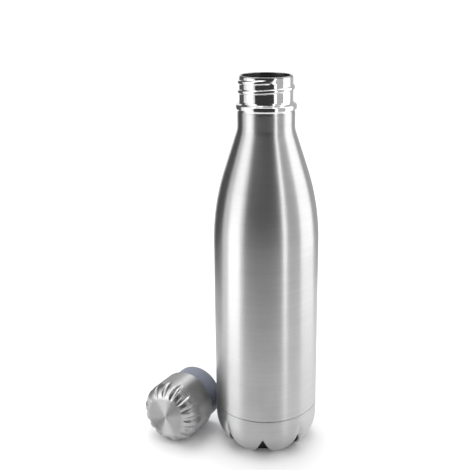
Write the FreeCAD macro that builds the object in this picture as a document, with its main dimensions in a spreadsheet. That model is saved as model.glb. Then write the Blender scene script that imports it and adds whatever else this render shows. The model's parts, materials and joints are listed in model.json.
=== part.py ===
import FreeCAD, Part
import math
import os
import re
import Sketcher

# An insulated steel water bottle with its screw cap off and lying beside it. Millimetres, +Z up.
# The origin is on the bottle's axis, on the surface that the bottle stands on.

DRIVING = {
    # bottle body
    "body_radius": 39.0, "sheet": 0.4, "seam_height": 33.0, "seam_gap": 0.3,
    "shoulder_radius": 176.0, "shoulder_turn": 18.0, "kink_height": 247.4, "neck_radius": 20.8,
    "shell_top": 260.6, "shell_chamfer": 0.35,
    # petal base
    "base_arc": 28.5, "base_arc_top": 24.0, "base_sheet": 0.5, "foot_inner": 20.0,
    "recess_radius": 17.5, "recess_height": 5.0,
    "notch_count": 8, "notch_half_width": 7.6, "notch_height": 16.5, "notch_bearing": -94.0,
    "notch_crest": 0.5, "notch_start": 22.0, "notch_top_start": 33.0,
    # mouth and its thread
    "lip_height": 285.5, "lip_radius": 19.0, "lip_roll": 0.8, "neck_sheet": 0.6,
    "bead_radius": 22.1, "bead_low": 261.8, "bead_high": 266.6,
    "thread_pitch": 6.6, "thread_turns": 1.5, "thread_round": 1.6, "thread_crest": 20.5,
    "thread_low": 272.2, "thread_bearing": 85.0,
    # vacuum flask
    "vacuum_gap": 2.4, "flask_floor": 38.0, "flask_corner": 12.0,
    "shield_sheet": 0.15, "shield_low": 52.0, "shield_high": 160.0,
    "bottom_low": 26.0, "bottom_high": 37.0, "bottom_disc": 33.6, "bottom_sheet": 0.5,
    "port_radius": 2.5, "plug_head": 4.0, "plug_rise": 1.2,
    "getter_offset": 18.0, "getter_radius": 5.0, "getter_thick": 1.6, "holder_sheet": 0.4,
    # cap, in its own frame: the skirt's end at z = 0 and the crown up
    "cap_radius": 23.6, "cap_length": 46.6, "cap_rim": 15.6, "cap_sheet": 0.5,
    "face_radius": 12.5, "crown_round": 9.1, "crown_bend": 10.3,
    "flute_count": 16, "flute_depth": 1.2, "flute_tube": 3.2, "flute_inset": 6.0,
    "flute_sweep": 78.0,
    "skirt_radius": 21.4, "skirt_bore": 20.8, "liner_top": 23.2, "liner_fit": 0.05,
    "gasket_seat": 20.4, "gasket_thick": 2.0, "gasket_outer": 20.2, "gasket_inner": 15.6,
    "gasket_play": 0.1, "boss_radius": 15.2, "boss_drop": 2.6,
    "cap_thread_crest": 19.45, "cap_thread_low": 2.4,
    "foam_radius": 20.6, "foam_low": 23.4, "foam_shoulder": 34.5, "foam_top": 43.6,
    # where the loose cap lies: its crown's centre, and its heading from +Y towards +X
    "cap_x": -78.0, "cap_y": -16.0, "cap_heading": 28.0, "cap_spin": 0.0,
}

doc = FreeCAD.newDocument("bottle")
sheet = doc.addObject("Spreadsheet::Sheet", "Dims")
for row, (alias, size) in enumerate(DRIVING.items(), start=1):
    sheet.set(f"A{row}", alias)
    sheet.set(f"B{row}", str(size))
    sheet.setAlias(f"B{row}", alias)
doc.recompute()

ALIASES = re.compile(r"\b(" + "|".join(sorted(DRIVING, key=len, reverse=True)) + r")\b")
RIGHT, LEFT = 1, -1
ROUND = "(1 - cos(shoulder_turn * 1 deg))"
RISE = "sin(shoulder_turn * 1 deg)"


def bound(expression):
    """An expression on the sheet's aliases, as the document reads it."""
    return ALIASES.sub(r"Dims.\1", expression)


def number(expression):
    """The value of such an expression."""
    return float(sheet.evalExpression(bound(expression)))


def bind(feature, **sizes):
    """Bind a feature's properties to expressions on the sheet."""
    for name, expression in sizes.items():
        feature.setExpression(name, bound(expression))
    return feature


def origin_plane(body, role):
    """One of a body's own origin planes."""
    return next(f for f in body.Origin.OriginFeatures if f.Role == role)


def arc_between(start, end, radius, side):
    """The minor arc between two points, bulging to the right (1) or left (-1) of the way it goes."""
    chord = end - start
    bulge = FreeCAD.Vector(chord.y, -chord.x, 0).normalize() * side
    sagitta = radius - math.sqrt(radius ** 2 - (chord.Length / 2) ** 2)
    return Part.Arc(start, (start + end) * 0.5 + bulge * sagitta, end)


def hold_point(sketch, geometry, end, corner):
    """Fix one corner of an outline at its two expressions."""
    for kind, axis, expression in (("DistanceX", -2, corner[0]), ("DistanceY", -1, corner[1])):
        value = number(expression)
        if abs(value) < 1e-9:
            sketch.addConstraint(Sketcher.Constraint("PointOnObject", geometry, end, axis))
            continue
        index = sketch.addConstraint(Sketcher.Constraint(kind, -1, 1, geometry, end, value))
        sketch.setExpression(f"Constraints[{index}]", bound(expression))


def outline(body, corners):
    """A closed outline in the XZ plane. Each corner is (r, z), or (r, z, radius, side) before an arc."""
    sketch = body.newObject("Sketcher::SketchObject", f"{body.Name}_outline")
    sketch.AttachmentSupport = [(origin_plane(body, "XZ_Plane"), "")]
    sketch.MapMode = "FlatFace"
    points = [FreeCAD.Vector(number(c[0]), number(c[1]), 0) for c in corners]
    starts, ends = [], []
    for i, corner in enumerate(corners):
        start, end = points[i], points[(i + 1) % len(points)]
        if len(corner) > 2:
            sketch.addGeometry(arc_between(start, end, number(corner[2]), corner[3]), False)
        else:
            sketch.addGeometry(Part.LineSegment(start, end), False)
        gaps = [sketch.getPoint(i, point).distanceToPoint(start) for point in (1, 2)]
        forward = gaps[0] < gaps[1]
        starts.append(1 if forward else 2)
        ends.append(2 if forward else 1)
    for i, corner in enumerate(corners):
        after = (i + 1) % len(corners)
        sketch.addConstraint(Sketcher.Constraint("Coincident", i, ends[i], after, starts[after]))
        hold_point(sketch, i, starts[i], corner)
        if len(corner) > 2:
            index = sketch.addConstraint(Sketcher.Constraint("Radius", i, number(corner[2])))
            sketch.setExpression(f"Constraints[{index}]", bound(corner[2]))
    return sketch


def turned(label, corners):
    """A body made by turning an outline about the Z axis."""
    body = doc.addObject("PartDesign::Body", label)
    sketch = outline(body, corners)
    turn = body.newObject("PartDesign::Revolution", f"{label}_turn")
    turn.Profile = sketch
    turn.ReferenceAxis = (sketch, ["V_Axis"])
    turn.Angle = 360
    doc.recompute()
    return body


def combine(kind, label, base, tool):
    """Part::Cut, Part::Fuse or Part::Common of two objects."""
    result = doc.addObject(f"Part::{kind}", label)
    result.Base = base
    result.Tool = tool
    return result


def gather(label, pieces):
    """Several tools as one."""
    result = doc.addObject("Part::MultiFuse", label)
    result.Shapes = pieces
    return result


def cylinder(label, radius, low, high):
    """An upright cylinder on the axis, between two heights."""
    tube = bind(doc.addObject("Part::Cylinder", label), Radius=radius, Height=f"({high}) - ({low})")
    return bind(tube, **{"Placement.Base.z": low})


def shoulder_bend(inset):
    """The radius of the shoulder's arc at an inset from the outer surface."""
    return f"(shoulder_radius - ({inset}))"


def shoulder(inset):
    """The side of the bottle from the body to the neck, at an inset from the outer surface."""
    bend = shoulder_bend(inset)
    start = f"({SHOULDER_START})"
    return [
        (f"body_radius - ({inset})", start),
        (f"body_radius - shoulder_radius + {bend} * cos(shoulder_turn * 1 deg)",
         f"{start} + {bend} * {RISE}"),
        (f"neck_radius - ({inset})", f"kink_height - ({inset}) * tan(shoulder_turn * 0.5 deg)"),
    ]


# the straight stretch between the shoulder's arc and the neck, and the height where the arc starts
STRAIGHT = f"((body_radius - neck_radius - shoulder_radius * {ROUND}) / {RISE})"
SHOULDER_START = f"kink_height - {STRAIGHT} * cos(shoulder_turn * 1 deg) - shoulder_radius * {RISE}"


def outer_shell():
    """The brushed body, drawn in to the shoulder and neck."""
    outside = shoulder("0")
    inside = shoulder("sheet")[::-1]
    return turned("outer_shell", [
        ("body_radius", "seam_height + seam_gap"),
        (*outside[0], shoulder_bend("0"), RIGHT),
        outside[1],
        outside[2],
        ("neck_radius", "shell_top - shell_chamfer"),
        ("neck_radius - shell_chamfer", "shell_top"),
        ("neck_radius - sheet", "shell_top"),
        inside[0],
        (*inside[1], shoulder_bend("sheet"), LEFT),
        inside[2],
        ("body_radius - sheet", "seam_height + seam_gap"),
    ])


def inner_flask():
    """The flask that holds the drink: the same shape set in by the vacuum gap, its lip rolled outward."""
    out, inn = "sheet + vacuum_gap", "2 * sheet + vacuum_gap"
    outside = shoulder(out)
    inside = shoulder(inn)[::-1]
    return turned("inner_flask", [
        ("0", "flask_floor"),
        (f"body_radius - ({out}) - flask_corner", "flask_floor", "flask_corner", RIGHT),
        (f"body_radius - ({out})", "flask_floor + flask_corner"),
        (*outside[0], shoulder_bend(out), RIGHT),
        outside[1],
        outside[2],
        (f"neck_radius - ({out})", "lip_height - lip_roll"),
        ("lip_radius - 0.1", "lip_height - lip_roll"),
        ("lip_radius - 0.1", "lip_height - 0.3"),
        ("lip_radius - 0.4", "lip_height"),
        (f"neck_radius - ({inn}) + 0.3", "lip_height"),
        (f"neck_radius - ({inn})", "lip_height - 0.3"),
        inside[0],
        (*inside[1], shoulder_bend(inn), LEFT),
        inside[2],
        (f"body_radius - ({inn})", "flask_floor + flask_corner", "flask_corner - sheet", LEFT),
        (f"body_radius - ({out}) - flask_corner", "flask_floor + sheet"),
        ("0", "flask_floor + sheet"),
    ])


def copper_shield():
    """The thin copper sleeve round the flask's straight wall, which turns heat back."""
    inner = "body_radius - sheet - vacuum_gap"
    return turned("copper_shield", [
        (inner, "shield_low"),
        (f"{inner} + shield_sheet", "shield_low"),
        (f"{inner} + shield_sheet", "shield_high"),
        (inner, "shield_high"),
    ])


def helix_ridge(label, centre_radius, low, tube, bearing):
    """A round ridge that climbs a right-handed helix, with ball ends."""
    helix = bind(doc.addObject("Part::Helix", f"{label}_path"),
                 Pitch="thread_pitch", Height="thread_pitch * thread_turns", Radius=centre_radius)
    section = bind(doc.addObject("Part::Circle", f"{label}_section"), Radius=tube)
    section.Placement = FreeCAD.Placement(
        FreeCAD.Vector(number(centre_radius), 0, 0), FreeCAD.Rotation(FreeCAD.Vector(1, 0, 0), 90))
    sweep = doc.addObject("Part::Sweep", f"{label}_sweep")
    sweep.Sections = [section]
    sweep.Spine = helix
    sweep.Solid = True
    sweep.Frenet = True
    tips = []
    for name, turns in (("start", 0.0), ("finish", number("thread_turns"))):
        tip = bind(doc.addObject("Part::Sphere", f"{label}_{name}"), Radius=tube)
        angle = 2 * math.pi * turns
        radius = number(centre_radius)
        tip.Placement.Base = FreeCAD.Vector(
            radius * math.cos(angle), radius * math.sin(angle), number("thread_pitch") * turns)
        tips.append(tip)
    ridge = gather(f"{label}_ridge", [sweep, *tips])
    doc.recompute()
    ridge.Placement = FreeCAD.Placement(
        FreeCAD.Vector(0, 0, number(low)), FreeCAD.Rotation(FreeCAD.Vector(0, 0, 1), number(bearing)))
    return ridge


def threaded_neck():
    """The polished ring at the mouth, with its rolled bead and the cap's thread."""
    root = "lip_radius"
    sleeve = "neck_radius - sheet"
    bore = "lip_radius - neck_sheet"
    bead = "(bead_high - bead_low) / 2"
    ring = turned("neck_ring", [
        (bore, "bead_low - 6"),
        (sleeve, "bead_low - 6"),
        (sleeve, "shell_top + 0.2"),
        (f"{sleeve} + 0.3", "bead_low"),
        ("bead_radius - 0.8", "bead_low"),
        ("bead_radius", "bead_low + 0.9"),
        ("bead_radius", f"bead_low + {bead}"),
        (f"{root} + 1.2", "bead_high - 0.6"),
        (root, "bead_high + 0.6"),
        (root, "lip_height - lip_roll"),
        (bore, "lip_height - lip_roll"),
    ])
    ridge = helix_ridge("neck_thread", "thread_crest - thread_round", "thread_low", "thread_round",
                        "thread_bearing")
    raised = combine("Fuse", "neck_raised", ring, ridge)
    clear = cylinder("neck_bore", bore, "bead_low - 7", "lip_height + 1")
    return combine("Cut", "threaded_neck", raised, clear)


def base_side(inset):
    """The base cup's side below its straight band, at an inset from the outer surface."""
    centre = "(body_radius - base_arc)"
    arc = f"(base_arc - ({inset}))"
    floor = f"({inset})"
    run = f"sqrt({arc} ^ 2 - (base_arc_top - {floor}) ^ 2)"
    return (f"{centre} + {run}", floor), (f"body_radius - ({inset})", "base_arc_top"), arc


def base_form(label, inset, top):
    """The solid form of the base at an inset: a shallow recess, a foot ring and a rounded side."""
    foot, band, arc = base_side(inset)
    return turned(label, [
        ("0", f"recess_height + ({inset})"),
        (f"recess_radius + ({inset})", f"recess_height + ({inset})"),
        (f"foot_inner + ({inset})", foot[1]),
        (*foot, arc, RIGHT),
        band,
        (f"body_radius - ({inset})", top),
        ("0", top),
    ])


def notches(label, inset):
    """The wedges that press the notches between the petals, at an inset from the outer surface."""
    wedges = []
    height = f"(notch_height + ({inset}) / sin(atan(notch_half_width / notch_height)))"
    half = f"{height} * notch_half_width / notch_height"
    # the inner end of a notch slopes up and outward, so the offset is a little more along the radius
    start = f"notch_start - 1.3 * ({inset})"
    top = f"notch_top_start - 1.3 * ({inset})"
    for i in range(int(number("notch_count"))):
        wedge = bind(doc.addObject("Part::Wedge", f"{label}_{i + 1}"),
                     Xmin=f"-({half})", Xmax=half, X2min="-notch_crest", X2max="notch_crest",
                     Ymin="0", Ymax=height, Zmin=start, Zmax="body_radius + 5", Z2min=top,
                     Z2max="body_radius + 5")
        # a wedge rises along its own Y, so it is stood up and then turned to its bearing
        stand = FreeCAD.Rotation(FreeCAD.Vector(1, 0, 0), 90)
        bearing = number("notch_bearing") + 90 + i * 360 / number("notch_count")
        wedge.Placement = FreeCAD.Placement(
            FreeCAD.Vector(0, 0, 0), FreeCAD.Rotation(FreeCAD.Vector(0, 0, 1), bearing) * stand)
        wedges.append(wedge)
    return gather(label, wedges)


def base_cup():
    """The pressed cup over the bottom, with a ring of petals for feet."""
    outside = combine("Cut", "base_outside", base_form("base_outer_form", "0", "seam_height"),
                      notches("base_notches", "0"))
    inside = combine("Cut", "base_inside", base_form("base_inner_form", "base_sheet", "seam_height + 1"),
                     notches("base_inner_notches", "base_sheet"))
    return combine("Cut", "base_cup", outside, inside)


def outer_bottom():
    """The disc that closes the vacuum, with a rim that joins the shell to the base cup."""
    rim = "body_radius - base_sheet"
    return turned("outer_bottom", [
        ("port_radius", "bottom_disc"),
        (f"{rim} - bottom_sheet", "bottom_disc"),
        (f"{rim} - bottom_sheet", "bottom_low"),
        (rim, "bottom_low"),
        (rim, "bottom_high"),
        (f"{rim} - bottom_sheet", "bottom_high"),
        (f"{rim} - bottom_sheet", "bottom_disc + bottom_sheet"),
        ("port_radius", "bottom_disc + bottom_sheet"),
    ])


def vacuum_seal():
    """The glass plug in the port that the air was drawn out through."""
    return turned("vacuum_seal", [
        ("0", "bottom_disc - plug_rise"),
        ("plug_head - 0.8", "bottom_disc - plug_rise"),
        ("plug_head", "bottom_disc"),
        ("port_radius", "bottom_disc"),
        ("port_radius", "bottom_disc + bottom_sheet"),
        ("0", "bottom_disc + bottom_sheet"),
    ])


def getter_holder():
    """The small tray that holds the getter on the bottom disc."""
    tray = turned("getter_holder", [
        ("0", "bottom_disc + bottom_sheet"),
        ("getter_radius + holder_sheet", "bottom_disc + bottom_sheet"),
        ("getter_radius + holder_sheet", "bottom_disc + bottom_sheet + getter_thick"),
        ("getter_radius", "bottom_disc + bottom_sheet + getter_thick"),
        ("getter_radius", "bottom_disc + bottom_sheet + holder_sheet"),
        ("0", "bottom_disc + bottom_sheet + holder_sheet"),
    ])
    tray.Placement.Base = FreeCAD.Vector(number("getter_offset"), 0, 0)
    return tray


def getter():
    """The pill that soaks up the last gas in the vacuum."""
    low = "bottom_disc + bottom_sheet + holder_sheet"
    pill = bind(doc.addObject("Part::Cylinder", "getter"), Radius="getter_radius", Height="getter_thick")
    pill.Placement.Base = FreeCAD.Vector(number("getter_offset"), 0, number(low))
    return pill


def cap_form(label, inset, low):
    """The cap's solid form at an inset: a flat face, a rounded crown and a straight side."""
    return turned(label, [
        ("0", low),
        (f"cap_radius - ({inset})", low),
        (f"cap_radius - ({inset})", "cap_length - crown_round", f"crown_bend - ({inset})", RIGHT),
        ("face_radius", f"cap_length - ({inset})"),
        ("0", f"cap_length - ({inset})"),
    ])


def flutes(label, inset):
    """The bent tubes that press the leaf-shaped flutes round the crown, at an inset."""
    # each tube's floor is an arc that dips below the crown half way and leaves it at both ends
    slant = math.radians(45)
    crown_centre = (number("face_radius"), number("cap_length - crown_round"))
    centre = [c - number("flute_inset") * math.sin(slant) for c in crown_centre]
    tubes = []
    for i in range(int(number("flute_count"))):
        tube = bind(doc.addObject("Part::Torus", f"{label}_{i + 1}"),
                    Radius1="crown_bend - flute_depth + flute_inset + flute_tube",
                    Radius2=f"flute_tube + ({inset})", Angle3="flute_sweep")
        # a torus lies flat, so it is stood up in the plane of its flute, and then turned to its place
        stand = FreeCAD.Rotation(FreeCAD.Vector(1, 0, 0), 90)
        bearing = FreeCAD.Rotation(FreeCAD.Vector(0, 0, 1), i * 360 / number("flute_count"))
        place = bearing.multVec(FreeCAD.Vector(centre[0], 0, centre[1]))
        tube.Placement = FreeCAD.Placement(place, bearing * stand)
        tubes.append(tube)
    return gather(label, tubes)


def cap_shell():
    """The spun steel cover of the cap, fluted round its crown."""
    outside = combine("Cut", "cap_outside", cap_form("cap_outer_form", "0", "cap_rim"),
                      flutes("cap_flutes", "0"))
    inside = combine("Cut", "cap_inside", cap_form("cap_inner_form", "cap_sheet", "cap_rim - 1"),
                     flutes("cap_inner_flutes", "cap_sheet"))
    return combine("Cut", "cap_shell", outside, inside)


def cap_liner():
    """The moulded insert: a skirt with the screw thread, a flange in the shell's rim, and a roof."""
    flange = "cap_radius - cap_sheet - liner_fit"
    cup = turned("liner_cup", [
        ("0", "gasket_seat - boss_drop"),
        ("boss_radius", "gasket_seat - boss_drop"),
        ("boss_radius", "gasket_seat"),
        ("skirt_bore", "gasket_seat"),
        ("skirt_bore", "0.4"),
        ("skirt_bore + 0.3", "0"),
        ("skirt_radius - 0.3", "0"),
        ("skirt_radius", "0.4"),
        ("skirt_radius", "cap_rim + 0.2"),
        (flange, "cap_rim + 0.2"),
        (flange, "liner_top"),
        ("0", "liner_top"),
    ])
    ridge = helix_ridge("cap_thread", "cap_thread_crest + thread_round", "cap_thread_low", "thread_round",
                        "thread_bearing")
    inner = combine("Common", "cap_thread", ridge,
                    cylinder("cap_thread_limit", "(skirt_bore + skirt_radius) / 2", "0.4", "gasket_seat - 3"))
    return combine("Fuse", "cap_liner", cup, inner)


def cap_foam():
    """The block of foam that keeps heat in under the crown."""
    return turned("cap_foam", [
        ("0", "foam_low"),
        ("foam_radius", "foam_low"),
        ("foam_radius", "foam_shoulder", "foam_top - foam_shoulder + 0.6", RIGHT),
        ("foam_radius - (foam_top - foam_shoulder)", "foam_top"),
        ("0", "foam_top"),
    ])


def cap_gasket():
    """The soft ring that the lip presses against."""
    high = "gasket_seat - gasket_play"
    return turned("cap_gasket", [
        ("gasket_inner", f"{high} - gasket_thick"),
        ("gasket_outer - 0.3", f"{high} - gasket_thick"),
        ("gasket_outer", f"{high} - gasket_thick + 0.3"),
        ("gasket_outer", high),
        ("gasket_inner", high),
    ])


def lying():
    """Where the cap lies: its axis level, its crown towards the front left."""
    heading = math.radians(number("cap_heading"))
    along = FreeCAD.Vector(math.sin(heading), math.cos(heading), 0)
    crown = FreeCAD.Vector(number("cap_x"), number("cap_y"), number("cap_radius"))
    base = crown + along * number("cap_length")
    level = FreeCAD.Rotation(FreeCAD.Vector(0, 0, 1), -along)
    return FreeCAD.Placement(base, level * FreeCAD.Rotation(FreeCAD.Vector(0, 0, 1), number("cap_spin")))


def write(nodes):
    """Check every object of the document and write each node's solid."""
    doc.recompute()
    failed = [o.Name for o in doc.Objects if {"Invalid", "Error"} & set(o.State)]
    if failed:
        raise RuntimeError(f"these objects failed: {failed}")
    os.makedirs("parts", exist_ok=True)
    for node in nodes:
        shape = node.Shape
        if shape.isNull() or not shape.isValid() or len(shape.Solids) != 1:
            raise RuntimeError(f"{node.Label} is not one valid solid")
        box = shape.BoundBox
        print(f"{node.Label:15s} {shape.Volume:10.1f} mm3  x {box.XMin:7.1f} {box.XMax:7.1f}"
              f"  y {box.YMin:7.1f} {box.YMax:7.1f}  z {box.ZMin:7.1f} {box.ZMax:7.1f}")
        shape.exportStep(f"parts/{node.Label}.step")


bottle = [make() for make in (
    outer_shell, base_cup, threaded_neck, inner_flask, copper_shield, outer_bottom, vacuum_seal,
    getter_holder, getter)]
cap = [make() for make in (cap_shell, cap_liner, cap_foam, cap_gasket)]
doc.recompute()
for piece in cap:
    piece.Placement = lying()
write(bottle + cap)
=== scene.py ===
import json
import logging
import math
from dataclasses import dataclass, field
from enum import Enum
from typing import Callable, Sequence

import bmesh
import bpy
import numpy as np
from mathutils import Matrix, Vector


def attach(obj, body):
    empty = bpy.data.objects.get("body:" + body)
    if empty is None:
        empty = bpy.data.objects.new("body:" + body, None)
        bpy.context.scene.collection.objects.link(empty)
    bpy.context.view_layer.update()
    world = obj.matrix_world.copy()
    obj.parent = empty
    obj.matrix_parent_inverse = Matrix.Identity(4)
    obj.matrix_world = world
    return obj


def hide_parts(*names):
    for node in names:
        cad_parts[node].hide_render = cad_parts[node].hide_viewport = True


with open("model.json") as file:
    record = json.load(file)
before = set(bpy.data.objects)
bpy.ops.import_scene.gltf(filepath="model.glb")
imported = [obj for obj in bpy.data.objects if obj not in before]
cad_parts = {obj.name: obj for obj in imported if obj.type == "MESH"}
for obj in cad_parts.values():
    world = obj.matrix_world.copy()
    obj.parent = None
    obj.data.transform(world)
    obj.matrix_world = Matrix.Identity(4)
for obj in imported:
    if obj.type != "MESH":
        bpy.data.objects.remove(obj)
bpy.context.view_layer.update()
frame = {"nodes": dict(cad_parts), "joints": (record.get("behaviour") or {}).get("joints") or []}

# An insulated steel water bottle that stands open, with its screw cap lying beside it.
# The frame is in metres with +Z up. Sizes in the classes below are in millimetres, as its maker gives them.

MM = 0.001
TINY = 1e-6
NEARLY_STRAIGHT = 0.01  # radians, the turn at a corner that needs no rounding
RUN_SHARE = 0.48  # the most of a run that the rounding at one of its ends may take
log = logging.getLogger("bottle")

Point = tuple[float, float]
Corner = tuple[float, float, float]
Shaper = Callable[[np.ndarray, np.ndarray, np.ndarray], tuple[np.ndarray, np.ndarray, np.ndarray]]
Colour = tuple[float, float, float]


# ---------------------------------------------------------------- shader maths


class Value:
    """A number on a material's node tree, which Python's own operators work on."""

    def __init__(self, nodes: "Nodes", socket: bpy.types.NodeSocket) -> None:
        """Wrap an output socket of one of the tree's nodes."""
        self.nodes = nodes
        self.socket = socket

    def maths(self, operation: str, *others: "float | Value", first: "float | Value | None" = None) -> "Value":
        """Add one Math node.

        Args:
            operation: The node's operation.
            others: What follows this value in the node's sockets.
            first: What goes before this value, for a reflected operator.

        Returns:
            The node's result.
        """
        terms = [self, *others] if first is None else [first, self, *others]
        return self.nodes.add("ShaderNodeMath", {"operation": operation}, dict(enumerate(terms)))

    def __add__(self, other: "float | Value") -> "Value":
        """This value plus another."""
        return self.maths("ADD", other)

    def __sub__(self, other: "float | Value") -> "Value":
        """This value less another."""
        return self.maths("SUBTRACT", other)

    def __rsub__(self, other: float) -> "Value":
        """A number less this value."""
        return self.maths("SUBTRACT", first=other)

    def __mul__(self, other: "float | Value") -> "Value":
        """This value times another."""
        return self.maths("MULTIPLY", other)

    def __truediv__(self, other: "float | Value") -> "Value":
        """This value over another."""
        return self.maths("DIVIDE", other)

    def __pow__(self, other: float) -> "Value":
        """This value to a power."""
        return self.maths("POWER", other)

    __radd__ = __add__
    __rmul__ = __mul__

    def ramp(self, low: float, high: float) -> "Value":
        """A smooth mask that is 0 at low and below it, and 1 at high and above it."""
        return self.nodes.add("ShaderNodeMapRange", {"interpolation_type": "SMOOTHSTEP", "clamp": True},
                              {"Value": self, "From Min": low, "From Max": high})


class Nodes:
    """A material's node tree, with the coordinates and patterns that its finish is written in."""

    def __init__(self, name: str) -> None:
        """Start an empty material of that name."""
        self.material = bpy.data.materials.new(name)
        self.material.use_nodes = True
        self.tree = self.material.node_tree
        self.tree.nodes.clear()
        split = self.new("ShaderNodeSeparateXYZ", {}, {0: self.place})
        self.x, self.y, self.z = (Value(self, split.outputs[axis]) for axis in "XYZ")

    @property
    def place(self) -> bpy.types.NodeSocket:
        """The point on the piece, in metres, in the piece's own frame."""
        return self.new("ShaderNodeTexCoord").outputs["Object"]

    def new(self, kind: str, settings: dict[str, object] | None = None,
            sockets: dict[str | int, object] | None = None) -> bpy.types.Node:
        """Add a node.

        Args:
            kind: The node's type.
            settings: Its own properties, set before its sockets.
            sockets: Its inputs by name or number, each a constant, a Value or another node's socket.

        Returns:
            The node.
        """
        node = self.tree.nodes.new(kind)
        for name, setting in (settings or {}).items():
            setattr(node, name, setting)
        for key, content in (sockets or {}).items():
            content = content.socket if isinstance(content, Value) else content
            if isinstance(content, bpy.types.NodeSocket):
                self.tree.links.new(content, node.inputs[key])
            else:
                node.inputs[key].default_value = content
        return node

    def add(self, kind: str, settings: dict[str, object], sockets: dict[str | int, object],
            output: str | int = 0) -> Value:
        """Add a node and wrap one of its outputs."""
        return Value(self, self.new(kind, settings, sockets).outputs[output])

    def vector(self, x: "Value | float", y: "Value | float", z: "Value | float") -> bpy.types.NodeSocket:
        """Put three numbers together as a vector."""
        return self.new("ShaderNodeCombineXYZ", {}, {"X": x, "Y": y, "Z": z}).outputs[0]

    def noise(self, vector: bpy.types.NodeSocket, scale: float, detail: float = 2.0,
              roughness: float = 0.5) -> Value:
        """Fractal noise from 0 to 1, with 0.5 its middle."""
        return self.add("ShaderNodeTexNoise", {"noise_dimensions": "3D"},
                        {"Vector": vector, "Scale": scale, "Detail": detail, "Roughness": roughness}, "Fac")

    def cells(self, vector: bpy.types.NodeSocket, scale: float) -> Value:
        """The distance to the nearest of many scattered points."""
        return self.add("ShaderNodeTexVoronoi", {"feature": "F1"}, {"Vector": vector, "Scale": scale}, "Distance")

    def radius(self) -> Value:
        """The distance from the piece's axis."""
        return (self.x * self.x + self.y * self.y + TINY * TINY) ** 0.5

    def mix(self, mask: "Value | float", dark: "Colour | bpy.types.NodeSocket",
            light: Colour) -> bpy.types.NodeSocket:
        """A colour between two, by a mask.

        Args:
            mask: How much of the light colour there is.
            dark: The other colour, which may itself be mixed.
            light: The light colour.

        Returns:
            The colour's socket.
        """
        first = dark if isinstance(dark, bpy.types.NodeSocket) else (*dark, 1.0)
        return self.new("ShaderNodeMix", {"data_type": "RGBA"},
                        {"Factor": mask, 6: first, 7: (*light, 1.0)}).outputs[2]

    def bump(self, height: Value, strength: float, depth: float) -> bpy.types.NodeSocket:
        """The normal of a surface with that relief.

        Args:
            height: The relief, from 0 to 1.
            strength: How much of it shows.
            depth: How deep it is, in metres.

        Returns:
            The normal's socket.
        """
        return self.new("ShaderNodeBump", {}, {"Strength": strength, "Distance": depth, "Height": height}).outputs[0]

    def finish(self, sockets: dict[str, object]) -> bpy.types.Material:
        """Close the tree with one Principled shader that has those inputs."""
        surface = self.new("ShaderNodeBsdfPrincipled", {}, sockets)
        self.new("ShaderNodeOutputMaterial", {}, {"Surface": surface.outputs[0]})
        return self.material


# ---------------------------------------------------------------- finishes


class Advance(Enum):
    """How a turned surface's brushing steps across it, as the share of the radius added to the height."""

    OUTWARD = 1.0
    INWARD = -1.0


@dataclass(frozen=True)
class BrushedSteel:
    """Steel that was brushed as it turned, so that fine lines run round it and highlights stretch across them."""

    name: str
    dark: Colour = (0.4, 0.4, 0.405)
    light: Colour = (0.54, 0.54, 0.545)
    roughness: float = 0.34
    spread: float = 0.1
    stretch: float = 0.92
    advance: Advance = Advance.INWARD
    line: float = 2600.0
    relief: float = 0.25
    side: Corner | None = None
    crown: Point | None = None

    def notch_shade_and_dullness(self, n: Nodes) -> Value | float:
        """Inside the arc of the side, at the notches and underneath: a mask that paints shade there, turning the
        colour near-black, and makes the steel rougher.
        """
        if self.side is None:
            return 0.0
        centre, height, radius = (size * MM for size in self.side)
        drop = height - n.z
        inside = (radius ** 2 - drop * drop).maths("MAXIMUM", 0.0) ** 0.5 + centre - n.radius()
        return inside.ramp(0.7 * MM, 2.6 * MM) * (1.0 - n.z.ramp(16.0 * MM, 18.0 * MM))

    def pressed(self, n: Nodes) -> Value | float:
        """Where the crown's flutes were pressed by a polished tool, outside its flat face, and shine more."""
        if self.crown is None:
            return 0.0
        face, low = (size * MM for size in self.crown)
        return n.radius().ramp(face + 1.5 * MM, face + 5.0 * MM) * n.z.ramp(low, low + 4.0 * MM)

    def build(self) -> bpy.types.Material:
        """Make the material."""
        n = Nodes(self.name)
        around = n.radius()
        across = n.z + around * self.advance.value
        turn_x, turn_y = n.x / around, n.y / around
        fine = n.noise(n.vector(turn_x * 1.6, turn_y * 1.6, across * self.line), 1.0, 4.0, 0.65)
        broad = n.noise(n.vector(turn_x * 0.8, turn_y * 0.8, across * (self.line / 7)), 1.0, 3.0, 0.6)
        handled = n.noise(n.place, 38.0, 3.0, 0.55).ramp(0.42, 0.72)
        lines = fine * 0.6 + broad * 0.4
        # Painted shade in the notches and underneath, which also makes the steel rougher there.
        shade_and_dullness = self.notch_shade_and_dullness(n)
        rough = self.roughness + (lines - 0.5) * self.spread + handled * 0.03 + shade_and_dullness * 0.25
        rough = rough - self.pressed(n) * 0.2
        tone = (lines - 0.5) * 1.3 + 0.62 - handled * 0.1
        return n.finish({
            # Painted shade: the base colour goes near-black where the notch mask is full.
            "Base Color": n.mix(shade_and_dullness, n.mix(tone, self.dark, self.light), (0.05, 0.05, 0.05)), "Metallic": 1.0,
            "Roughness": rough,
            "Anisotropic": self.stretch, "Anisotropic Rotation": 0.25,
            "Normal": n.bump(lines, self.relief, 0.02 * MM)})


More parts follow.
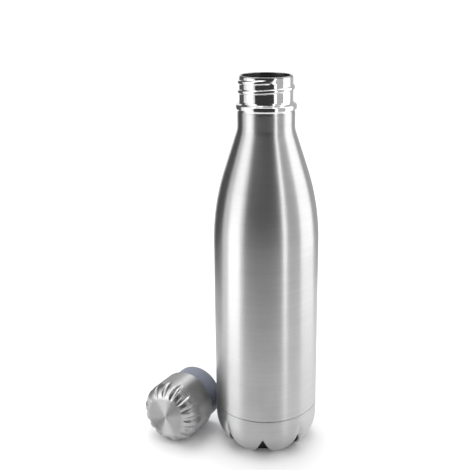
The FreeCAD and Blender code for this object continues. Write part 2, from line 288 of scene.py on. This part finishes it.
@dataclass(frozen=True)
class PolishedSteel:
    """Steel polished bright, with faint turning lines and fingermarks."""

    name: str
    dark: Colour = (0.56, 0.56, 0.565)
    light: Colour = (0.74, 0.74, 0.745)
    roughness: float = 0.1
    spread: float = 0.06

    def build(self) -> bpy.types.Material:
        """Make the material."""
        n = Nodes(self.name)
        around = n.radius()
        lines = n.noise(n.vector(n.x / around * 2.2, n.y / around * 2.2, n.z * 3400.0), 1.0, 3.0, 0.6)
        smudge = n.noise(n.place, 120.0, 4.0, 0.6).ramp(0.45, 0.8)
        rough = self.roughness + (lines - 0.5) * self.spread + smudge * 0.05
        return n.finish({
            "Base Color": n.mix(lines * 0.5 + 0.5 - smudge * 0.2, self.dark, self.light), "Metallic": 1.0,
            "Roughness": rough, "Normal": n.bump(lines, 0.12, 0.01 * MM)})


@dataclass(frozen=True)
class MouldedPlastic:
    """Moulded plastic with a fine spark-eroded texture, with a painted highlight along the skirt's end, lighter in
    colour and a little shinier.
    """

    name: str
    dark: Colour = (0.135, 0.15, 0.195)
    light: Colour = (0.2, 0.215, 0.265)
    roughness: float = 0.46

    def build(self) -> bpy.types.Material:
        """Make the material."""
        n = Nodes(self.name)
        grain = n.noise(n.place, 5200.0, 3.0, 0.6)
        flow = n.noise(n.place, 60.0, 3.0, 0.5)
        # Painted highlight: the colour is lighter, and the plastic shinier, in the last millimetre at the skirt's
        # end.
        end_highlight = (1.0 - n.z.ramp(0.2 * MM, 1.2 * MM)) * 0.8
        tone = flow * 0.7 + grain * 0.2 + end_highlight * 0.5 - 0.05
        return n.finish({
            "Base Color": n.mix(tone, self.dark, self.light), "Roughness": self.roughness + grain * 0.12 - end_highlight * 0.1,
            "IOR": 1.49, "Normal": n.bump(grain, 0.25, 0.04 * MM)})


@dataclass(frozen=True)
class Silicone:
    """A soft grey sealing ring with a dusty bloom."""

    name: str

    def build(self) -> bpy.types.Material:
        """Make the material."""
        n = Nodes(self.name)
        bloom = n.noise(n.place, 900.0, 5.0, 0.7).ramp(0.4, 0.75)
        skin = n.noise(n.place, 4200.0, 2.0)
        return n.finish({
            "Base Color": n.mix(bloom * 0.6 + skin * 0.2, (0.5, 0.5, 0.51), (0.72, 0.72, 0.73)),
            "Roughness": 0.5 + bloom * 0.2, "IOR": 1.42, "Subsurface Weight": 0.08,
            "Normal": n.bump(skin, 0.2, 0.03 * MM)})


@dataclass(frozen=True)
class DrawnSteel:
    """Plain drawn steel that is never seen from outside, with mill lines and weld tint."""

    name: str
    tint: Colour = (0.5, 0.5, 0.5)
    low: float = 26.0
    high: float = 37.0

    def build(self) -> bpy.types.Material:
        """Make the material."""
        n = Nodes(self.name)
        mill = n.noise(n.vector(n.x * 60.0, n.y * 2400.0, n.z * 60.0), 1.0, 4.0, 0.6)
        edge = 1.0 - n.z.ramp(self.low * MM, (self.low + 1.0) * MM) + n.z.ramp((self.high - 1.0) * MM, self.high * MM)
        heat = edge * n.noise(n.place, 300.0, 3.0)
        straw = tuple(channel * share for channel, share in zip(self.tint, (0.9, 0.72, 0.45)))
        return n.finish({
            "Base Color": n.mix(heat + mill * 0.15, self.tint, straw), "Metallic": 1.0,
            "Roughness": 0.38 + mill * 0.16, "Normal": n.bump(mill, 0.2, 0.02 * MM)})


@dataclass(frozen=True)
class CopperFoil:
    """Thin copper, creased where it was wrapped and darker where it has aged."""

    name: str

    def build(self) -> bpy.types.Material:
        """Make the material."""
        n = Nodes(self.name)
        crease = n.cells(n.place, 130.0)
        age = n.noise(n.place, 45.0, 4.0, 0.6).ramp(0.35, 0.75)
        return n.finish({
            "Base Color": n.mix(age, (0.86, 0.42, 0.27), (0.45, 0.19, 0.11)), "Metallic": 1.0,
            "Roughness": 0.24 + age * 0.25, "Normal": n.bump(crease, 0.35, 0.2 * MM)})


@dataclass(frozen=True)
class SealGlass:
    """The fused glass plug, with a flow-marked skin."""

    name: str

    def build(self) -> bpy.types.Material:
        """Make the material."""
        n = Nodes(self.name)
        flow = n.noise(n.place, 420.0, 3.0, 0.5)
        return n.finish({
            "Base Color": n.mix(flow, (0.2, 0.28, 0.24), (0.42, 0.5, 0.46)), "Roughness": 0.06 + flow * 0.12,
            "IOR": 1.52, "Coat Weight": 0.5, "Normal": n.bump(flow, 0.4, 0.1 * MM)})


@dataclass(frozen=True)
class PressedPowder:
    """The getter's sintered grey pill."""

    name: str

    def build(self) -> bpy.types.Material:
        """Make the material."""
        n = Nodes(self.name)
        grain = n.noise(n.place, 2600.0, 6.0, 0.75)
        pits = n.cells(n.place, 1500.0).ramp(0.0, 0.35)
        return n.finish({
            "Base Color": n.mix(grain * pits, (0.05, 0.05, 0.055), (0.26, 0.25, 0.25)), "Metallic": 0.6,
            "Roughness": 0.55 + grain * 0.3, "Normal": n.bump(grain * 0.6 + pits * 0.4, 0.6, 0.1 * MM)})


@dataclass(frozen=True)
class InsulatingFoam:
    """Off-white closed-cell foam."""

    name: str

    def build(self) -> bpy.types.Material:
        """Make the material."""
        n = Nodes(self.name)
        cell = n.cells(n.place, 1300.0)
        stain = n.noise(n.place, 150.0, 3.0)
        return n.finish({
            "Base Color": n.mix(cell * 0.9 + stain * 0.3, (0.5, 0.47, 0.4), (0.82, 0.8, 0.74)),
            "Roughness": 0.85, "Normal": n.bump(cell, 0.6, 0.25 * MM)})


# ---------------------------------------------------------------- turned meshes


def fillet(corners: Sequence[Corner], closed: bool, steps: int = 5) -> list[Point]:
    """Round the corners of an outline.

    Args:
        corners: Each corner's radius, height and rounding.
        closed: Whether the last corner joins the first.
        steps: How many pieces each rounding has.

    Returns:
        The outline's points.
    """
    points: list[Point] = []
    count = len(corners)
    for i, (r, z, rounding) in enumerate(corners):
        inner = closed or 0 < i < count - 1
        here = Vector((r, z))
        before = Vector(corners[i - 1][:2]) - here
        after = Vector(corners[(i + 1) % count][:2]) - here
        if not inner or rounding <= 0 or before.length < TINY or after.length < TINY:
            points.append((r, z))
            continue
        half = before.angle(after) / 2
        if math.pi / 2 - half < NEARLY_STRAIGHT:
            points.append((r, z))
            continue
        reach = min(rounding / math.tan(half), RUN_SHARE * before.length, RUN_SHARE * after.length)
        size = reach * math.tan(half)
        middle = here + (before.normalized() + after.normalized()).normalized() * (size / math.sin(half))
        start = here + before.normalized() * reach - middle
        sweep = start.angle_signed(here + after.normalized() * reach - middle)
        for step in range(steps + 1):
            angle = -sweep * step / steps
            spoke = Matrix.Rotation(angle, 2) @ start
            points.append((middle.x + spoke.x, middle.y + spoke.y))
    return points


def spaced(points: Sequence[Point], closed: bool, longest: float, hold: float = 0.25) -> list[Point]:
    """Divide an outline's long runs, with a point close to each end so that smooth shading stays in the roundings.

    Args:
        points: The outline.
        closed: Whether the last point joins the first.
        longest: The longest run left, in millimetres.
        hold: How far from each end of a long run the close points are.

    Returns:
        The outline with more points.
    """
    result: list[Point] = []
    ends = list(zip(points, [*points[1:], points[0]]))
    for start, end in ends if closed else ends[:-1]:
        length = math.dist(start, end)
        shares = [0.0]
        if length > 4 * hold:
            inner = max(1, math.ceil((length - 2 * hold) / longest))
            shares += [(hold + (length - 2 * hold) * i / inner) / length for i in range(inner + 1)]
        result += [tuple(a + (b - a) * share for a, b in zip(start, end)) for share in shares]
    return result if closed else [*result, points[-1]]


def bulge(start: Point, end: Point, radius: float, steps: int) -> list[Point]:
    """The points of the arc between two points that bulges away from the axis, with both ends."""
    a, b = Vector(start), Vector(end)
    chord = b - a
    outward = Vector((chord.y, -chord.x)).normalized()
    centre = (a + b) / 2 - outward * math.sqrt(radius ** 2 - (chord.length / 2) ** 2)
    sweep = -(a - centre).angle_signed(b - centre)
    spokes = [Matrix.Rotation(sweep * i / steps, 2) @ (a - centre) for i in range(steps + 1)]
    return [(centre.x + s.x, centre.y + s.y) for s in spokes]


@dataclass
class Turning:
    """A mesh made by turning an outline about the Z axis, and then shaped."""

    name: str
    outline: Sequence[Point]
    closed: bool
    segments: int = 192
    shaper: Shaper | None = None
    sheet: float = 0.0
    crease: float = 34.0

    def build(self, place: Matrix | None = None) -> bpy.types.Object:
        """Make the object.

        Args:
            place: Where it stands, if not on the bottle's axis.

        Returns:
            The object, in metres.
        """
        outline = np.array(self.outline, float)
        angles = np.arange(self.segments) * (2 * math.pi / self.segments)
        r, angle = np.meshgrid(outline[:, 0], angles, indexing="ij")
        z = np.repeat(outline[:, 1:], self.segments, axis=1)
        if self.shaper:
            r, z, angle = self.shaper(r, z, angle)
        places = np.stack([r * np.cos(angle), r * np.sin(angle), z], axis=-1).reshape(-1, 3) * MM
        rows = len(outline)
        row = np.arange(rows if self.closed else rows - 1)[:, None] * self.segments
        step = np.arange(self.segments)[None, :]
        after = (step + 1) % self.segments
        above = (row + self.segments) % (rows * self.segments)
        faces = np.stack([row + step, row + after, above + after, above + step], axis=-1).reshape(-1, 4)
        mesh = bpy.data.meshes.new(self.name)
        mesh.from_pydata(places.tolist(), [], faces.tolist())
        self.clean(mesh)
        piece = bpy.data.objects.new(self.name, mesh)
        bpy.context.scene.collection.objects.link(piece)
        if place is not None:
            piece.matrix_world = place
        if self.sheet:
            wall = piece.modifiers.new("wall", "SOLIDIFY")
            wall.thickness = self.sheet * MM
            wall.offset = -1.0
            wall.use_even_offset = True
        return piece

    def clean(self, mesh: bpy.types.Mesh) -> None:
        """Merge the points on the axis, face every face outward and keep the creases sharp."""
        bm = bmesh.new()
        bm.from_mesh(mesh)
        bmesh.ops.remove_doubles(bm, verts=bm.verts, dist=TINY)
        bmesh.ops.recalc_face_normals(bm, faces=bm.faces)
        bm.to_mesh(mesh)
        bm.free()
        mesh.shade_smooth()
        mesh.set_sharp_from_angle(angle=math.radians(self.crease))


# ---------------------------------------------------------------- the bottle


@dataclass
class Bottle:
    """The standing bottle: its brushed shell, petal base, threaded neck and flask, and what the vacuum holds."""

    body: float = 39.0
    sheet: float = 0.4
    seam: float = 33.0
    seam_gap: float = 0.3
    shoulder: float = 176.0
    shoulder_turn: float = 18.0
    shoulder_steps: int = 24
    kink: float = 247.4
    neck: float = 20.8
    shell_top: float = 260.6
    lip: float = 285.5
    lip_radius: float = 19.0
    vacuum_gap: float = 2.4
    flask_floor: float = 38.0
    flask_corner: float = 12.0
    pieces: list[bpy.types.Object] = field(default_factory=list)

    def side(self, inset: float) -> list[Corner]:
        """The side from the straight body to the neck's foot, at an inset from the outer surface."""
        turn = math.radians(self.shoulder_turn)
        straight = (self.body - self.neck - self.shoulder * (1 - math.cos(turn))) / math.sin(turn)
        start = self.kink - straight * math.cos(turn) - self.shoulder * math.sin(turn)
        bend = self.shoulder - inset
        angles = [turn * i / self.shoulder_steps for i in range(self.shoulder_steps + 1)]
        arc = [(self.body - self.shoulder + bend * math.cos(a), start + bend * math.sin(a), 0.0) for a in angles]
        return [*arc, (self.neck - inset, self.kink - inset * math.tan(turn / 2), 16.0)]

    def outer_shell(self) -> bpy.types.Object:
        """The brushed body, with a rolled-in edge at its top and a broken edge at the seam."""
        low = self.seam + self.seam_gap
        outside = [(self.body, low, 0.14), *self.side(0.0), (self.neck, self.shell_top - 1.5, 1.2),
                   (self.neck - 0.3, self.shell_top, 0.12)]
        inside = [(self.neck - self.sheet, self.shell_top, 0.0), *self.side(self.sheet)[::-1],
                  (self.body - self.sheet, low, 0.05)]
        outline = spaced(fillet([*outside, *inside], closed=True), closed=True, longest=5.0)
        return Turning("brushed_shell", outline, closed=True, segments=224).build()

    def inner_flask(self) -> bpy.types.Object:
        """The flask inside, whose end is rolled over the neck as the lip."""
        outer, inner = self.sheet + self.vacuum_gap, 2 * self.sheet + self.vacuum_gap
        wall, corner = self.body - outer, self.flask_corner
        bottom = self.flask_floor
        outside = [(0.0, bottom, 0.0), (wall, bottom, corner), *self.side(outer),
                   (self.neck - outer, self.lip - 0.8, 0.0), (self.lip_radius - 0.1, self.lip - 0.8, 0.15),
                   (self.lip_radius - 0.1, self.lip, 0.35)]
        inside = [(self.neck - inner, self.lip, 0.35), *self.side(inner)[::-1],
                  (wall - self.sheet, bottom + self.sheet, corner - self.sheet), (0.0, bottom + self.sheet, 0.0)]
        outline = spaced(fillet([*outside, *inside], closed=False, steps=8), closed=False, longest=8.0)
        return Turning("flask", outline, closed=False, segments=128).build()

    def build(self) -> list[bpy.types.Object]:
        """Make and dress the bottle's pieces, and have the hidden ones dressed as they are."""
        brushed = BrushedSteel("brushed_body_steel").build()
        # The flask's steel is made darker than the neck's: painted shade for the dark inside of the mouth.
        inside = PolishedSteel("flask_steel", dark=(0.25, 0.25, 0.25), light=(0.35, 0.35, 0.35), roughness=0.22,
                               spread=0.14).build()
        base = PetalBase()
        self.pieces += [
            dress(self.outer_shell(), brushed, "bottle", "outer_shell"),
            dress(base.build(), base.finish(), "bottle", "base_cup"),
            dress(ThreadedNeck().build(), PolishedSteel("polished_neck_steel").build(), "bottle",
                  "threaded_neck"),
            dress(self.inner_flask(), inside, "bottle", "inner_flask")]
        hidden = DrawnSteel("drawn_hidden_steel").build()
        paint("outer_bottom", hidden)
        paint("getter_holder", hidden)
        paint("copper_shield", CopperFoil("copper_foil").build())
        paint("vacuum_seal", SealGlass("seal_glass").build())
        paint("getter", PressedPowder("getter_powder").build())
        return self.pieces


@dataclass
class PetalBase:
    """The pressed cup over the bottom, drawn up into notches between its petals."""

    body: float = 39.0
    seam: float = 33.0
    arc: float = 28.5
    arc_top: float = 24.0
    sheet: float = 0.5
    foot_inner: float = 20.0
    recess: float = 17.5
    recess_height: float = 5.0
    notches: int = 8
    half_width: float = 7.6
    height: float = 16.5
    bearing: float = -94.0
    start: float = 22.0
    top_start: float = 33.0
    crest: float = 0.3
    corner: float = 1.0
    petal_round: float = 0.4
    dish: float = 0.9
    dish_low: float = 6.0
    dish_high: float = 27.0

    def outline(self) -> list[Point]:
        """The cup's outer side from its top edge to the middle of its underside."""
        side = [(self.body - self.arc * (1 - math.cos(a)), self.arc_top - self.arc * math.sin(a), 0.0)
                for a in np.linspace(0.0, math.asin(self.arc_top / self.arc), 72)]
        corners = [(self.body - self.sheet, self.seam - 0.3, 0.0), (self.body - self.sheet, self.seam, 0.05),
                   (self.body, self.seam, 0.14), *side, (self.foot_inner, 0.0, 1.0),
                   (self.recess, self.recess_height, 2.0), (0.0, self.recess_height, 0.0)]
        return spaced(fillet(corners, closed=False), closed=False, longest=0.9)

    def press(self, r: np.ndarray, z: np.ndarray, angle: np.ndarray) -> tuple[np.ndarray, ...]:
        """Press the notches: lift the sheet to each notch's roof, and dish the side above it.

        Args:
            r: Radii.
            z: Heights.
            angle: Bearings, in radians.

        Returns:
            The shaped radii, heights and bearings.
        """
        pitch = 2 * math.pi / self.notches
        offset = (angle - math.radians(self.bearing) + pitch / 2) % pitch - pitch / 2
        off = r * np.sin(offset)
        roof = self.height * (1 - (np.sqrt(off ** 2 + self.crest ** 2) - self.crest) / self.half_width)
        rise = self.height * (r * np.cos(offset) - self.start) / (self.top_start - self.start)
        roof = (roof + rise - np.sqrt((roof - rise) ** 2 + self.corner ** 2)) / 2
        lifted = (z + roof + np.sqrt((z - roof) ** 2 + self.petal_round ** 2)) / 2
        new_z = np.where((r > self.start - 1) & (z < self.height + 4), lifted, z)
        leaf = np.clip((z - self.dish_low) / 8.0, 0, 1) * np.clip((self.dish_high - z) / 10.0, 0, 1)
        width = 2.2 + 2.4 * np.clip((20.0 - z) / 14.0, 0, 1)
        dish = self.dish * leaf ** 1.2 * np.exp(-(off / width) ** 2)
        return r - np.where(r > self.start + 2.0, dish, 0.0), new_z, angle

    def build(self) -> bpy.types.Object:
        """Make the cup."""
        return Turning("petal_base", self.outline(), closed=False, segments=384, shaper=self.press, sheet=self.sheet,
                       crease=60.0).build()

    def finish(self) -> bpy.types.Material:
        """The cup's steel, brushed on its side, and rougher with near-black painted shade in its notches and
        underneath.
        """
        return BrushedSteel("brushed_base_steel", advance=Advance.OUTWARD,
                            side=(self.body - self.arc, self.arc_top, self.arc)).build()


@dataclass
class ThreadedNeck:
    """The polished ring at the mouth, with its rolled bead and the single thread for the cap."""

    sleeve: float = 20.4
    root: float = 19.0
    wall: float = 0.6
    bead: float = 22.1
    bead_low: float = 261.8
    bead_high: float = 266.6
    shell_top: float = 260.6
    top: float = 284.7
    pitch: float = 6.6
    turns: float = 1.5
    crest: float = 20.5
    ridge: float = 1.6
    low: float = 272.2
    bearing: float = 85.0
    blend: float = 0.9
    fade_in: float = 0.03
    fade_out: float = 0.06
    sink: float = 2.2

    def outline(self) -> list[Point]:
        """The ring's outline, with close rows where the thread will be raised."""
        bore = self.root - self.wall
        corners = [(bore, self.bead_low - 6, 0.0), (self.sleeve, self.bead_low - 6, 0.0),
                   (self.sleeve, self.shell_top + 0.2, 0.4), (self.sleeve + 0.3, self.bead_low, 0.3),
                   (self.bead - 0.2, self.bead_low, 1.3), (self.bead, self.bead_low + 3.0, 1.6),
                   (self.root + 1.0, self.bead_high - 0.4, 1.2), (self.root, self.bead_high + 1.4, 1.5)]
        lower = fillet([*corners, (self.root, self.bead_high + 4.0, 0.0)], closed=False, steps=8)[:-1]
        rows = [(self.root, float(z)) for z in np.arange(self.bead_high + 3.4, self.top, 0.16)]
        return [*spaced(lower, closed=False, longest=3.0), *rows, (self.root, self.top), (bore, self.top)]

    def raise_thread(self, r: np.ndarray, z: np.ndarray, angle: np.ndarray) -> tuple[np.ndarray, ...]:
        """Raise the thread out of the ring, easing in and out at its ends."""
        after = ((angle - math.radians(self.bearing)) / (2 * math.pi)) % 1.0
        raised = r.copy()
        for lap in (-1, 0, 1, 2):
            turn = after + lap
            within = np.minimum(turn, self.turns - turn)
            sunk = np.clip((self.fade_in - within) / (self.fade_in + self.fade_out), 0, 1) ** 2 * self.sink
            rise = z - self.low - self.pitch * turn
            bow = np.sqrt(np.clip(self.ridge ** 2 - rise ** 2, 0, None)) + self.crest - self.ridge - sunk
            bow = np.where(within > -self.fade_out - 0.01, bow, 0.0)
            soft = (raised + bow + np.sqrt((raised - bow) ** 2 + self.blend ** 2)) / 2 - self.blend / 12
            outer = (r > self.root - 0.1) & (z > self.bead_high + 1)
            raised = np.where(outer & (bow > self.root - 1.4), soft, raised)
        return np.minimum(raised, np.maximum(r, self.crest)), z, angle

    def build(self) -> bpy.types.Object:
        """Make the ring."""
        return Turning("threaded_neck_ring", self.outline(), closed=True, segments=256, shaper=self.raise_thread,
                       crease=50.0).build()


# ---------------------------------------------------------------- the cap


@dataclass
class Cap:
    """The lying cap, in its own frame: the skirt's end at height 0 and the crown up."""

    radius: float = 23.6
    length: float = 46.6
    rim: float = 15.6
    sheet: float = 0.5
    face: float = 12.5
    crown_round: float = 9.1
    crown_bend: float = 10.3
    flutes: int = 16
    flute_depth: float = 1.2
    flute_tube: float = 3.2
    flute_inset: float = 6.0
    flute_soft: float = 0.06
    skirt: float = 21.4
    bore: float = 20.8
    liner_top: float = 23.2
    gasket_seat: float = 20.4
    thread_crest: float = 19.45
    thread_low: float = 2.4
    thread_tube: float = 1.6
    pitch: float = 6.6
    turns: float = 1.5
    thread_fade: float = 0.03
    bearing: float = 85.0
    pieces: list[bpy.types.Object] = field(default_factory=list)

    def place(self) -> Matrix:
        """Where the cap lies, from the joint that it turns on."""
        joint = next(j for j in frame["joints"] if j["name"] == "cap_turn")
        crown = -Vector(joint["axis"]).normalized()
        level = Vector((0, 0, 1)).rotation_difference(crown).to_matrix().to_4x4()
        return Matrix.Translation(Vector(joint["pos_m"])) @ level

    def press_flutes(self, r: np.ndarray, z: np.ndarray, angle: np.ndarray) -> tuple[np.ndarray, ...]:
        """Press the leaf-shaped flutes into the crown, each with a round-nosed tool that rolls over its edge."""
        pitch = 2 * math.pi / self.flutes
        offset = (angle + pitch / 2) % pitch - pitch / 2
        along, off = r * np.cos(offset), r * np.sin(offset)
        centre_r = self.face - self.flute_inset * math.sqrt(0.5)
        centre_z = self.length - self.crown_round - self.flute_inset * math.sqrt(0.5)
        reach = np.hypot(along - centre_r, z - centre_z)
        path = self.crown_bend - self.flute_depth + self.flute_inset + self.flute_tube
        nose = np.sqrt(np.clip(self.flute_tube ** 2 - off ** 2, 0, None))
        depth = np.where(np.abs(off) < self.flute_tube, reach - path + nose, -1.0)
        depth = np.where((along > centre_r) & (z > centre_z), depth, -1.0)
        depth = (depth + np.sqrt(depth ** 2 + self.flute_soft ** 2)) / 2 - self.flute_soft * 0.015
        new_along = along - depth * (along - centre_r) / np.maximum(reach, TINY)
        new_z = z - depth * (z - centre_z) / np.maximum(reach, TINY)
        turned = angle - offset + np.arctan2(off, np.maximum(new_along, TINY))
        inner = r < 1.0
        return (np.where(inner, r, np.hypot(new_along, off)), np.where(inner, z, new_z),
                np.where(inner, angle, turned))

    def shell(self) -> bpy.types.Object:
        """The spun steel cover."""
        crown = bulge((self.radius, self.length - self.crown_round), (self.face, self.length), self.crown_bend, 44)
        corners = [(self.radius - self.sheet, self.rim + 0.1, 0.0), (self.radius - 0.4, self.rim, 0.1),
                   (self.radius, self.rim + 0.55, 0.4), *((r, z, 0.0) for r, z in crown)]
        outline = spaced(fillet([*corners, (0.0, self.length, 0.0)], closed=False), closed=False, longest=1.5)
        return Turning("cap_cover", outline, closed=False, segments=448, shaper=self.press_flutes, sheet=self.sheet,
                       crease=60.0).build(self.place())

    def cut_thread(self, r: np.ndarray, z: np.ndarray, angle: np.ndarray) -> tuple[np.ndarray, ...]:
        """Raise the inner thread from the skirt's bore."""
        after = ((angle - math.radians(self.bearing)) / (2 * math.pi)) % 1.0
        shaped = r.copy()
        for lap in (0, 1):
            turn = after + lap
            rise = z - self.thread_low - self.pitch * turn
            bow = self.thread_crest + self.thread_tube - np.sqrt(np.clip(self.thread_tube ** 2 - rise ** 2, 0, None))
            fade = np.clip(np.minimum(turn, self.turns - turn) / self.thread_fade, 0, 1)
            bow = self.bore + (bow - self.bore) * fade
            shaped = np.where((np.abs(r - self.bore) < 0.05) & (z > 0.5) & (z < 18), np.minimum(shaped, bow), shaped)
        return shaped, z, angle

    def liner(self) -> bpy.types.Object:
        """The moulded insert: the skirt with its thread, the flange, the roof and the boss in it."""
        flange = self.radius - self.sheet - 0.05
        boss = self.gasket_seat - 2.6
        rows = [(self.bore, float(z), 0.0) for z in np.arange(17.8, 0.5, -0.2)]
        corners = [(0.0, boss, 0.0), (15.2, boss, 0.5), (15.2, self.gasket_seat, 0.1),
                   (self.bore, self.gasket_seat, 0.3), *rows, (self.bore, 0.3, 0.0), (self.bore + 0.25, 0.0, 0.12),
                   (self.skirt - 0.25, 0.0, 0.12), (self.skirt, 0.35, 0.15), (self.skirt, self.rim + 0.2, 0.2),
                   (flange, self.rim + 0.2, 0.1), (flange, self.liner_top, 0.3), (0.0, self.liner_top, 0.0)]
        outline = spaced(fillet(corners, closed=False, steps=3), closed=False, longest=4.0)
        return Turning("cap_insert", outline, closed=False, segments=192, shaper=self.cut_thread).build(self.place())

    def gasket(self) -> bpy.types.Object:
        """The sealing ring, with a raised bead where the lip meets it."""
        high = self.gasket_seat - 0.1
        low = high - 2.0
        corners = [(15.6, low + 0.25, 0.2), (17.6, low + 0.25, 0.2), (17.9, low, 0.2), (18.9, low, 0.2),
                   (19.2, low + 0.25, 0.2), (20.2, low + 0.25, 0.2), (20.2, high, 0.2), (15.6, high, 0.2)]
        return Turning("sealing_ring", fillet(corners, closed=True), closed=True, segments=128).build(self.place())

    def build(self) -> list[bpy.types.Object]:
        """Make and dress the cap's pieces."""
        spun = BrushedSteel("cap_cover_steel", dark=(0.34, 0.34, 0.345), light=(0.46, 0.46, 0.465), roughness=0.48,
                            stretch=0.96, line=3000.0, crown=(self.face, self.length - 16.0)).build()
        self.pieces += [
            dress(self.shell(), spun, "cap", "cap_shell"),
            dress(self.liner(), MouldedPlastic("slate_plastic").build(), "cap", "cap_liner"),
            dress(self.gasket(), Silicone("grey_silicone").build(), "seal", "cap_gasket")]
        paint("cap_foam", InsulatingFoam("crown_foam").build())
        return self.pieces


def dress(piece: bpy.types.Object, material: bpy.types.Material, body: str, node: str) -> bpy.types.Object:
    """Give a piece its material, and say what it moves with and stands for.

    Args:
        piece: The piece.
        material: Its finish.
        body: The body that it moves with.
        node: The node that it stands for.

    Returns:
        The piece.
    """
    piece.data.materials.append(material)
    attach(piece, body)
    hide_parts(node)
    log.info("%s: %d points, stands for %s, moves with %s", piece.name, len(piece.data.vertices), node, body)
    return piece


def paint(node: str, material: bpy.types.Material) -> None:
    """Give a node that stays as it is a better material."""
    piece = frame["nodes"][node]
    for slot in piece.material_slots:
        slot.material = material
    log.info("%s: kept, in %s", node, material.name)


# ---------------------------------------------------------------- the studio

SQUARE = ((-1, -1), (1, -1), (1, 1), (-1, 1))


@dataclass(frozen=True)
class Panel:
    """A flat panel that stands round the set and shows only in the steel.

    Its bearing is in degrees from the camera's side, positive to the right, and its other sizes are in metres.
    Foot is how many times brighter it is near the floor, below foot_low and fading out by foot_high.
    """

    name: str
    bearing: float
    span: float
    glow: float
    distance: float = 0.35
    low: float = 0.0
    high: float = 0.95
    soft: float = 0.08
    foot: float = 1.0
    foot_low: float = 0.02
    foot_high: float = 0.14

    def build(self) -> bpy.types.Object:
        """Make the panel, with its light falling off towards its edges."""
        half = self.distance * math.tan(math.radians(self.span / 2))
        middle, tall = (self.low + self.high) / 2, (self.high - self.low) / 2
        nodes = Nodes(f"{self.name}_light")
        edge = (half - nodes.x.maths("ABSOLUTE")) / half
        near_floor = 1.0 - nodes.z.ramp(self.foot_low - tall, self.foot_high - tall)
        share = edge.ramp(0.0, self.soft) * (near_floor * (1.0 - 1.0 / self.foot) + 1.0 / self.foot)
        surface = nodes.new("ShaderNodeEmission", {}, {
            "Color": nodes.mix(share, (0.0, 0.0, 0.0), (1.0, 1.0, 1.0)), "Strength": self.glow * self.foot})
        nodes.new("ShaderNodeOutputMaterial", {}, {"Surface": surface.outputs[0]})
        corners = [(x * half, 0.0, z * tall) for x, z in SQUARE]
        panel = plate(self.name, corners, nodes.material)
        turn = math.radians(self.bearing)
        panel.location = (self.distance * math.sin(turn), -self.distance * math.cos(turn), middle)
        panel.rotation_euler = (0.0, 0.0, turn)
        only_in_reflections(panel)
        return panel


def plate(name: str, corners: Sequence[tuple[float, float, float]], material: bpy.types.Material) -> bpy.types.Object:
    """Make one flat stage face.

    Args:
        name: The name of the object and its mesh.
        corners: The face's corners in order, in metres.
        material: Its finish.

    Returns:
        The object, as a piece of the stage.
    """
    mesh = bpy.data.meshes.new(name)
    mesh.from_pydata(corners, [], [range(len(corners))])
    mesh.materials.append(material)
    thing = bpy.data.objects.new(name, mesh)
    bpy.context.scene.collection.objects.link(thing)
    return thing


def only_in_reflections(thing: bpy.types.Object) -> None:
    """Leave a stage piece out of sight of everything but glossy surfaces."""
    for ray in ("camera", "diffuse", "transmission", "volume_scatter", "shadow"):
        setattr(thing, f"visible_{ray}", False)


@dataclass
class Studio:
    """The floor, the lights and the camera."""

    lens: float = 59.74
    pitch: float = 15.11
    distance: float = 0.5537
    height: float = 0.3478
    shift: tuple[float, float] = (-0.0662, -0.0872)
    floor_half: float = 3.0
    sky: float = 1.12
    panels: tuple[Panel, ...] = (
        Panel("soft_left", -70.5, 32.0, 2.0, foot=2.2),
        Panel("strip_right", 39.0, 9.0, 3.0, soft=0.35),
        Panel("soft_right", 97.0, 44.0, 2.2),
        Panel("flag_front", -7.0, 80.0, 0.05, distance=0.31),
        Panel("wall_right", 60.0, 30.0, 0.6, distance=0.4),
        Panel("flag_left", -125.5, 43.0, 0.12),
        Panel("wall_right_back", 147.0, 50.0, 0.6, distance=0.4),
    )

    def floor(self) -> bpy.types.Object:
        """The pale floor."""
        nodes = Nodes("pale_paper")
        fibre = nodes.noise(nodes.place, 900.0, 3.0)
        paper = nodes.finish({
            "Base Color": nodes.mix(fibre, (0.93, 0.93, 0.93), (0.96, 0.96, 0.96)), "Roughness": 0.8})
        return plate("floor", [(x * self.floor_half, y * self.floor_half, 0.0) for x, y in SQUARE], paper)

    def light(self, name: str, place: tuple[float, float, float], size: float, power: float) -> bpy.types.Object:
        """Add a square soft light that points at the object's middle."""
        lamp = bpy.data.lights.new(name, "AREA")
        lamp.energy = power
        lamp.size = size
        thing = bpy.data.objects.new(name, lamp)
        thing.location = place
        thing.rotation_euler = (Vector(place) - Vector((0.0, 0.0, 0.1))).to_track_quat("Z", "Y").to_euler()
        bpy.context.scene.collection.objects.link(thing)
        return thing

    def camera(self) -> bpy.types.Object:
        """Add the camera and make it the scene's."""
        data = bpy.data.cameras.new("camera")
        data.lens = self.lens
        data.shift_x, data.shift_y = self.shift
        data.clip_start = 0.01
        thing = bpy.data.objects.new("camera", data)
        thing.location = (0.0, -self.distance, self.height)
        thing.rotation_euler = (math.radians(90.0 - self.pitch), 0.0, 0.0)
        bpy.context.scene.collection.objects.link(thing)
        bpy.context.scene.camera = thing
        return thing

    def world(self) -> None:
        """Give the room its even white light."""
        world = bpy.data.worlds.new("room")
        world.use_nodes = True
        bpy.context.scene.world = world
        background = world.node_tree.nodes["Background"]
        background.inputs["Color"].default_value = (1.0, 1.0, 1.0, 1.0)
        background.inputs["Strength"].default_value = self.sky

    def build(self) -> None:
        """Set the studio up."""
        self.camera()
        self.world()
        self.floor()
        for panel in self.panels:
            panel.build()
        self.light("overhead", (-0.15, 0.25, 1.3), 0.9, 6.0)
        bpy.context.scene.view_settings.view_transform = "Standard"
        log.info("studio: floor, %d panels, light and camera", len(self.panels))


def main() -> None:
    """Build the bottle, the cap and the studio, and report each piece."""
    logging.basicConfig(level=logging.INFO, format="%(message)s")
    Studio().build()
    Bottle().build()
    Cap().build()


if __name__ == "__main__":
    main()
